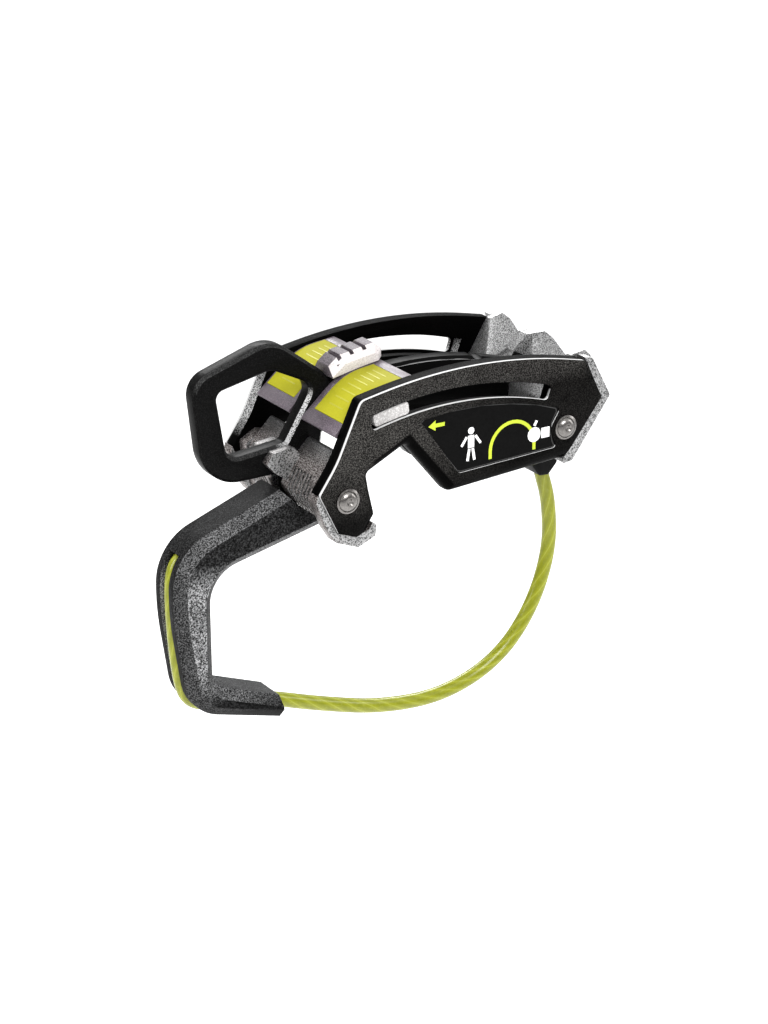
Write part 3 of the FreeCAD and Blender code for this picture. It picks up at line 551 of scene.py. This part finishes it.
def tube(name, points, radius, sides=20):
    """A tube mesh in the XZ plane's neighbourhood, with a UV map in millimetres and turns."""
    bm = bmesh.new()
    layer = bm.loops.layers.uv.new("tube")
    rings, lengths, run = [], [], 0.0
    for i, point in enumerate(points):
        ahead = points[min(i + 1, len(points) - 1)] - points[max(i - 1, 0)]
        tangent = ahead.normalized()
        across = Vector((0, 1, 0))
        up = tangent.cross(across).normalized()
        if i:
            run += (point - points[i - 1]).length
        lengths.append(run / MM)
        rings.append([bm.verts.new(point + radius * (math.cos(t) * across + math.sin(t) * up))
                      for t in (2 * math.pi * k / sides for k in range(sides))])
    for i in range(len(rings) - 1):
        for k in range(sides):
            m = (k + 1) % sides
            face = bm.faces.new((rings[i][k], rings[i][m], rings[i + 1][m], rings[i + 1][k]))
            face.smooth = True
            corners = ((i, k), (i, k + 1), (i + 1, k + 1), (i + 1, k))
            for loop, (ring, side) in zip(face.loops, corners):
                loop[layer].uv = (lengths[ring], side / sides)
    bm.faces.new(list(reversed(rings[0])))
    bm.faces.new(rings[-1])
    bmesh.ops.recalc_face_normals(bm, faces=bm.faces)
    mesh = bpy.data.meshes.new(name)
    bm.to_mesh(mesh)
    bm.free()
    return mesh, run


cable_points = spline_points(CABLE_ROUTE, "cable_route")
cable_mesh, cable_length = tube("cable", cable_points, 1.6 * MM)
cable = add_object("cable", cable_mesh, "jacket_lime")
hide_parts("cable_jacket", "cable_core")


# --- metal pieces ------------------------------------------------------------------------------

for node, width in (("cheek_left", 0.25), ("cheek_right", 0.25), ("spine", 0.25),
                    ("front_wear_insert_left", 0.2), ("front_wear_insert_right", 0.2),
                    ("rear_wear_insert", 0.3), ("thumb_hook", 0.35), ("cable_boot", 0.2)):
    soften(node, width)
for node, width in (("slide_plate_left", 0.15), ("slide_plate_right", 0.15),
                    ("slide_inlay_left", 0.12), ("slide_inlay_right", 0.12),
                    ("slide_shoe_left", 0.12), ("slide_shoe_right", 0.12), ("thumb_grip", 0.2)):
    soften(node, width, "mode_slide")


# --- plain signs on the two labels -----------------------------------------------------------------

LABEL_FACE = 18.8
ROPE_WIDTH = 0.75
FINE_WIDTH = 0.22
PANEL_LINE = [
    (5.5, 11.0), (6.5, 11.8), (12.0, 12.2), (20.0, 12.1), (27.0, 11.2), (33.5, 9.8), (38.4, 8.1),
    (38.6, 7.4), (37.5, 5.4), (37.1, 3.4), (37.6, 1.2), (38.1, 0.1), (37.7, -0.1), (15.0, -1.0),
    (14.3, -0.7), (6.0, 9.9),
]


def disc(x, z, radius, count=14):
    turns = [2 * math.pi * k / count for k in range(count)]
    return [(x + radius * math.cos(t), z + radius * math.sin(t)) for t in turns]


def bar(x, z, angle, length, width):
    """A bar that starts at (x, z) and runs off at an angle in degrees from +X."""
    run = Vector((math.cos(math.radians(angle)), math.sin(math.radians(angle))))
    half = Vector((-run.y, run.x)) * width / 2
    start = Vector((x, z))
    end = start + run * length
    return [start + half, start - half, end - half, end + half]


def arrow(x, z, shaft, width, head, head_width):
    """A straight arrow that starts at (x, z) and points towards -X."""
    neck = x - shaft
    return [(x, z - width / 2), (x, z + width / 2), (neck, z + width / 2),
            (neck, z + head_width / 2), (neck - head, z), (neck, z - head_width / 2),
            (neck, z - width / 2)]


def figure(x, z):
    """An upright figure of a disc and five bars, with its hips at (x, z)."""
    cells = [disc(x, z + 3.6, 0.75), bar(x, z, 90, 2.6, 1.5)]
    for way in (LEFT, RIGHT):
        cells.append(bar(x + way * 1.05, z + 2.4, 270 + way * 35, 2.2, 0.55))
        cells.append(bar(x + way * 0.4, z - 0.2, 270 + way * 10, 2.6, 0.6))
    return cells


def mitten(x, z):
    """A mitten of three plain shapes: palm, thumb and cuff."""
    return [disc(x, z, 1.6), bar(x, z + 1.9, 60, 1.2, 0.6), bar(x + 1.8, z, 0, 2.0, 2.2)]


def rope_arch(x, z, height, radius, count=16):
    """Centre line of a rope that goes up, over in a half circle and down again."""
    turns = [math.pi * k / count for k in range(count + 1)]
    over = [(x - radius * math.cos(t), z + height + radius * math.sin(t)) for t in turns]
    return [(x - radius, z), *over, (x + radius, z)]


def line_edges(points, width, closed=False):
    """Left and right edge points of a line with mitred corners."""
    pairs = []
    count = len(points)
    for i, here in enumerate(points):
        before = Vector(points[i - 1] if i or closed else here)
        after = Vector(points[(i + 1) % count] if i + 1 < count or closed else here)
        here = Vector(here)
        steps = [step.normalized() for step in (here - before, after - here) if step.length > 1e-9]
        heading = sum(steps, Vector((0, 0))).normalized()
        mitre = max(0.6, heading.dot(steps[0]))
        normal = Vector((-heading.y, heading.x)) * (width / 2 / mitre)
        pairs.append((here + normal, here - normal))
    return pairs


def thin_solid(name, cells, lift, mat, body):
    """A thin raised shape: each cell is a loop of base points, lifted along its own vector."""
    bm = bmesh.new()
    for loop in cells:
        base = [bm.verts.new(point) for point in loop]
        top = [bm.verts.new(point + lift) for point in loop]
        bm.faces.new(top)
        for i in range(len(loop)):
            k = (i + 1) % len(loop)
            bm.faces.new((base[i], base[k], top[k], top[i]))
    bmesh.ops.recalc_face_normals(bm, faces=bm.faces)
    mesh = bpy.data.meshes.new(name)
    bm.to_mesh(mesh)
    bm.free()
    return add_object(name, mesh, mat, body)


def line_cells(points, width, closed=False):
    pairs = line_edges(points, width, closed)
    last = len(pairs) if closed else len(pairs) - 1
    return [(pairs[i][0], pairs[i][1], pairs[(i + 1) % len(pairs)][1], pairs[(i + 1) % len(pairs)][0])
            for i in range(last)]


for side in (LEFT, RIGHT):
    signs = (
        ("arrow", [arrow(11.2, 9.9, shaft=2.2, width=0.8, head=1.7, head_width=2.2)],
         "print_lime", 0.03),
        ("figure", figure(17.6, 3.6), "print_white", 0.03),
        ("rope", line_cells(rope_arch(27.7, 0.2, height=1.6, radius=5.4), ROPE_WIDTH),
         "print_lime", 0.03),
        ("hand", mitten(33.1, 3.4), "print_white", 0.06),
        ("panel_line", line_cells(PANEL_LINE, FINE_WIDTH, True), "print_grey", 0.02),
    )
    for name, loops, mat, rise in signs:
        cells = [[Vector((x, side * LABEL_FACE, z)) * MM for x, z in loop] for loop in loops]
        thin_solid("%s_%s" % (name, SIDE[side]), cells, Vector((0, side * rise * MM, 0)), mat,
                   "device")


# --- faint ribs across the slide's inlays ----------------------------------------------------------

def inlay_height(x):
    """Z of the inlay's top at a place along the device, in millimetres."""
    if x > 0.78:
        return 19.37 + (x - 0.78) * 0.1235
    if x > -6.57:
        return 5.77 + math.sqrt(13.7 ** 2 - (x - 2.46) ** 2)
    return 16.07 + (x + 6.57) * 0.877


RIB_COUNT = 8
RIB_FIRST, RIB_PITCH = -8.4, 1.45
RIB_INNER, RIB_OUTER = 6.8, 11.8
for side in (LEFT, RIGHT):
    cells = []
    for rib in range(RIB_COUNT):
        x = RIB_FIRST + rib * RIB_PITCH
        for quad in line_cells([(x, RIB_INNER), (x, RIB_OUTER)], FINE_WIDTH):
            cells.append([Vector((x, side * y, inlay_height(x) - 0.02)) * MM for x, y in quad])
    thin_solid("inlay_ribs_" + SIDE[side], cells, Vector((-0.02, 0, 0.05)) * MM, "relief_lime",
               "mode_slide")
